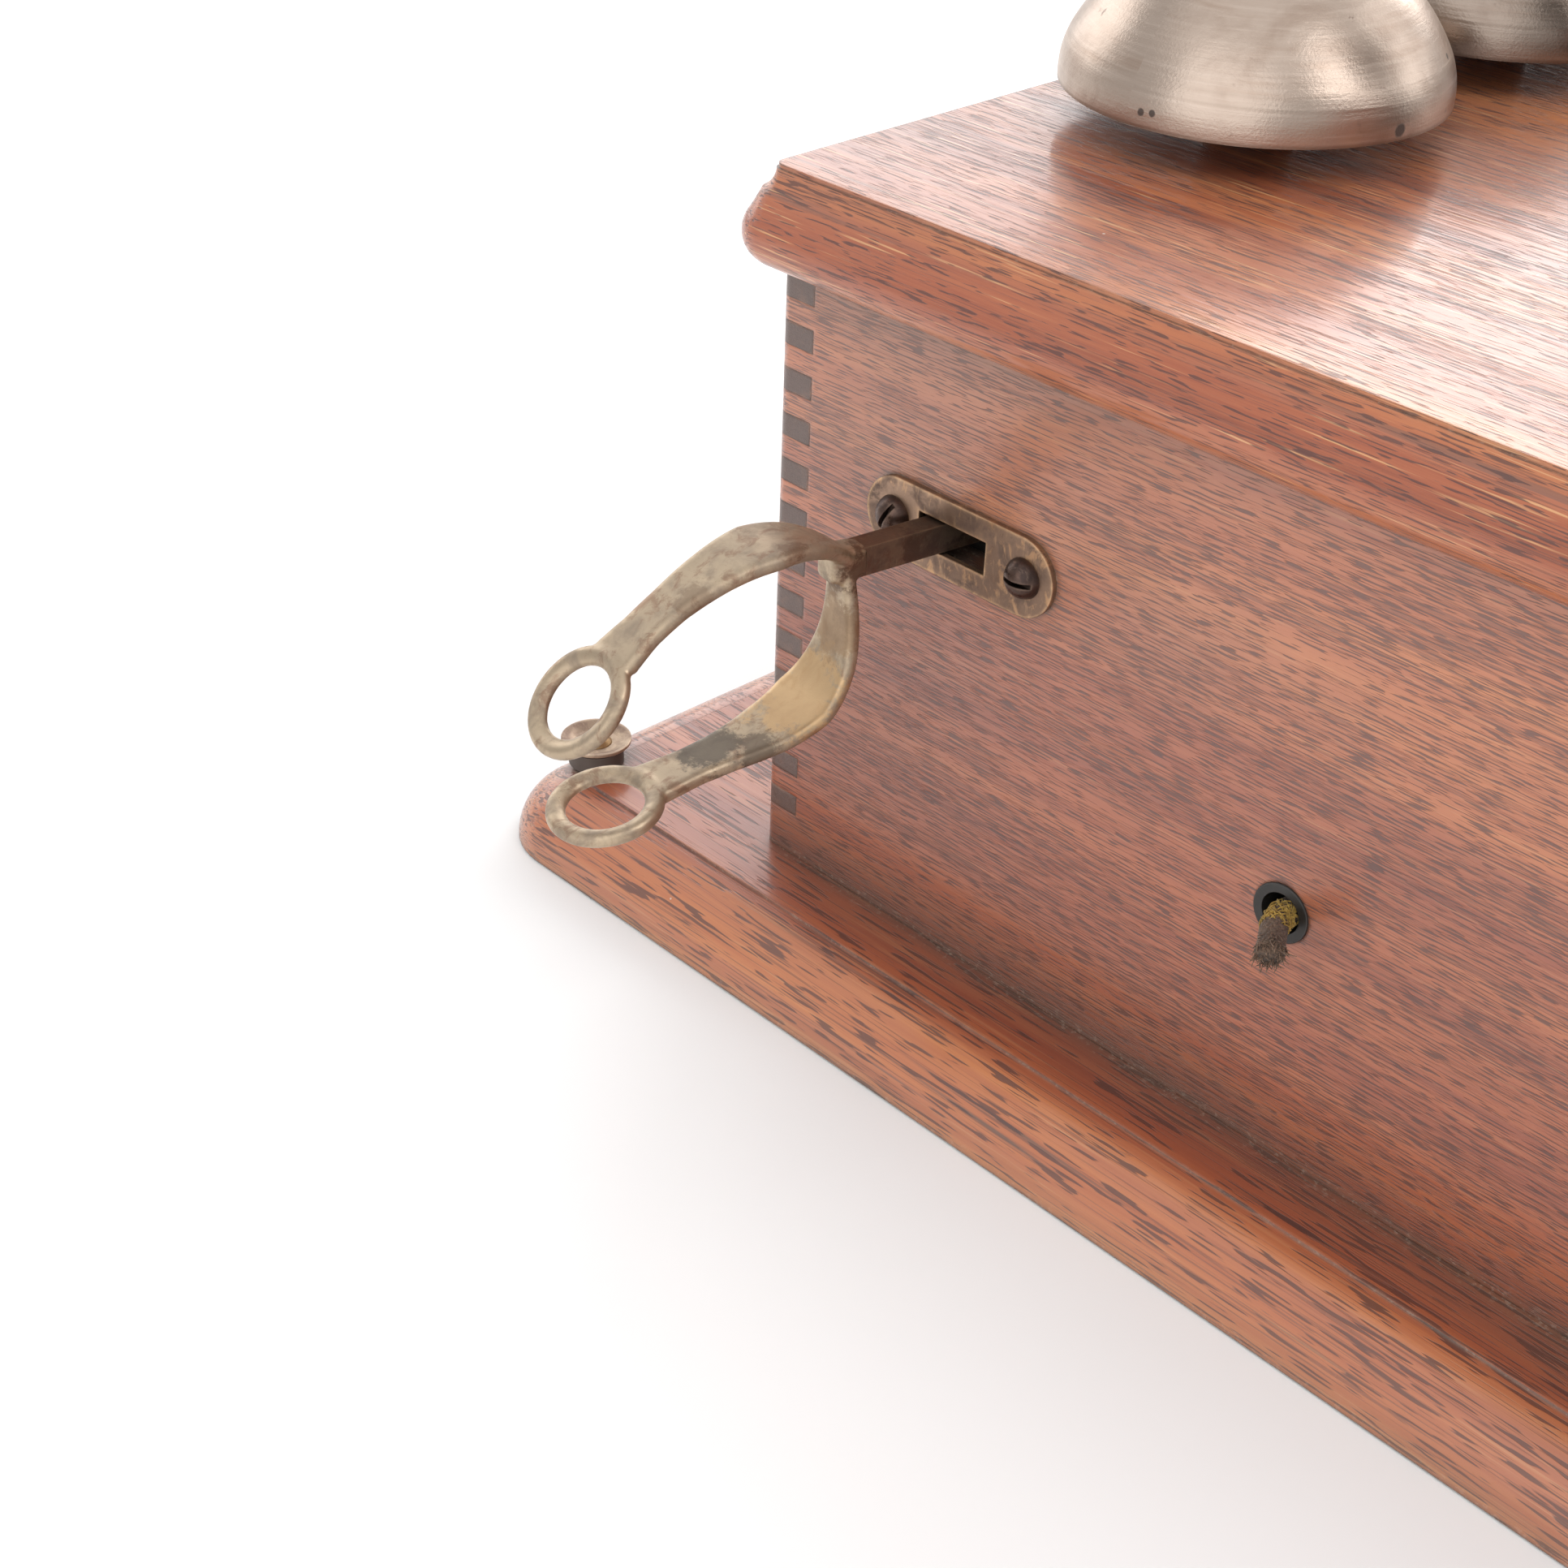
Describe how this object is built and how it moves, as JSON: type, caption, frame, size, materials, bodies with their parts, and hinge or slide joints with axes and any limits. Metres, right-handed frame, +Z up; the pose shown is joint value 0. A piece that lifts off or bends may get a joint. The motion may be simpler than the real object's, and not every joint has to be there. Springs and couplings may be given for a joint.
{
  "type": "wall crank telephone",
  "caption": "Wooden wall telephone with hand generator crank, gongs, tilting transmitter, writing shelf and a sprung receiver hook.",
  "frame": {"origin": "centre of the backboard's rear face, which lies on the wall", "axes": "+X to the right as one faces the telephone, towards the crank; +Y back into the wall; +Z up"},
  "size_m": [0.4074, 0.3113, 0.551],
  "materials": {
    "mahogany": "satin",
    "nickel": "worn satin",
    "bronze": "oxidised",
    "brass": "aged",
    "steel": "dark blued",
    "black_enamel": "japanned",
    "hard_rubber": "satin",
    "magnet_paint": "satin",
    "coil_wire": "silk covered wire",
    "coil_green": "cloth wrapped",
    "cord_braid": "worn braid",
    "coil_wood": "oiled",
    "tinplate": "dull"
  },
  "bodies": {
    "case": {"backboard": "mahogany", "left_board": "mahogany", "right_board": "mahogany", "top_board": "mahogany", "bottom_board": "mahogany", "hook_escutcheon": "bronze", "escutcheon_screws": "steel", "cord_bushing": "hard_rubber", "receiver_cord_stub": "cord_braid", "line_post_bases": "hard_rubber", "line_post_washers": "brass", "hook_bracket": "steel", "hook_axle": "steel", "hook_return_spring": "steel", "contact_spring_block": "hard_rubber", "fixed_contact_springs": "nickel", "generator_shelf": "mahogany", "generator_frame": "brass", "generator_magnets": "magnet_paint", "pole_pieces": "steel", "crank_bushing": "brass", "induction_coil_frame": "coil_wood", "induction_coil_winding": "coil_green", "condenser": "tinplate", "terminal_strip": "hard_rubber", "terminal_screws": "brass", "case_hinge_leaves": "brass", "hinge_pins": "steel", "latch_keeper": "brass"},
    "door": {"door": "mahogany", "door_hinge_leaves": "brass", "left_gong": "nickel", "right_gong": "nickel", "gong_posts": "black_enamel", "gong_screws": "nickel", "ringer_frame": "steel", "ringer_coils": "coil_wire", "transmitter_bracket": "black_enamel", "bracket_screws": "steel", "writing_shelf": "mahogany", "shelf_brackets": "mahogany", "latch_rosette": "brass"},
    "clapper": {"ringer_armature": "steel", "clapper": "brass"},
    "transmitter": {"transmitter_arm": "black_enamel", "transmitter_shell": "black_enamel", "transmitter_plate": "nickel", "mouthpiece": "hard_rubber"},
    "crank": {"crank_shaft": "steel", "drive_gear": "brass", "crank_arm": "nickel"},
    "grip": {"crank_grip": "hard_rubber"},
    "armature": {"generator_armature": "steel", "armature_winding": "coil_wire", "pinion": "brass"},
    "latch": {"latch_knob": "brass", "latch_tongue": "brass"},
    "hook": {"hook_lever": "bronze", "hook_fork": "bronze"},
    "moving_spring": {"moving_contact_spring": "nickel"}
  },
  "joints": [
    {"name": "door_swing", "type": "hinge", "parent": "case", "child": "door", "pos_m": [0.1306, -0.1431, 0], "axis": [0, 0, 1], "range_deg": [0, 105]},
    {"name": "hook_swing", "type": "hinge", "parent": "case", "child": "hook", "pos_m": [-0.082, -0.106, 0.16301], "axis": [0, -1, 0], "range_deg": [0, 12], "stiffness_Nm_per_rad": 0.3, "springref_deg": -20.05},
    {"name": "contact_flex", "type": "hinge", "parent": "case", "child": "moving_spring", "pos_m": [-0.0793, -0.106, 0.109], "axis": [0, 1, 0], "range_deg": [0, 3.4]},
    {"name": "crank_turn", "type": "hinge", "parent": "case", "child": "crank", "pos_m": [0.127, -0.075, 0.0382], "axis": [1, 0, 0], "continuous": true},
    {"name": "armature_spin", "type": "hinge", "parent": "case", "child": "armature", "pos_m": [0.06, -0.075, -0.005], "axis": [1, 0, 0], "continuous": true},
    {"name": "grip_spin", "type": "hinge", "parent": "crank", "child": "grip", "pos_m": [0.16, -0.075, -0.0098], "axis": [1, 0, 0], "continuous": true},
    {"name": "clapper_rock", "type": "hinge", "parent": "door", "child": "clapper", "pos_m": [0, -0.128, 0.11], "axis": [0, 1, 0], "range_deg": [-1.7, 1.7], "stiffness_Nm_per_rad": 0.02},
    {"name": "transmitter_tilt", "type": "hinge", "parent": "door", "child": "transmitter", "pos_m": [0, -0.2053, 0.06], "axis": [1, 0, 0], "range_deg": [-25, 25]},
    {"name": "latch_turn", "type": "hinge", "parent": "door", "child": "latch", "pos_m": [-0.103, -0.1653, -0.02], "axis": [0, 1, 0], "range_deg": [0, 90]}
  ],
  "couplings": [
    {"joint": "armature_spin", "follows": "crank_turn", "ratio": -5},
    {"joint": "contact_flex", "follows": "hook_swing", "ratio": 0.28}
  ]
}
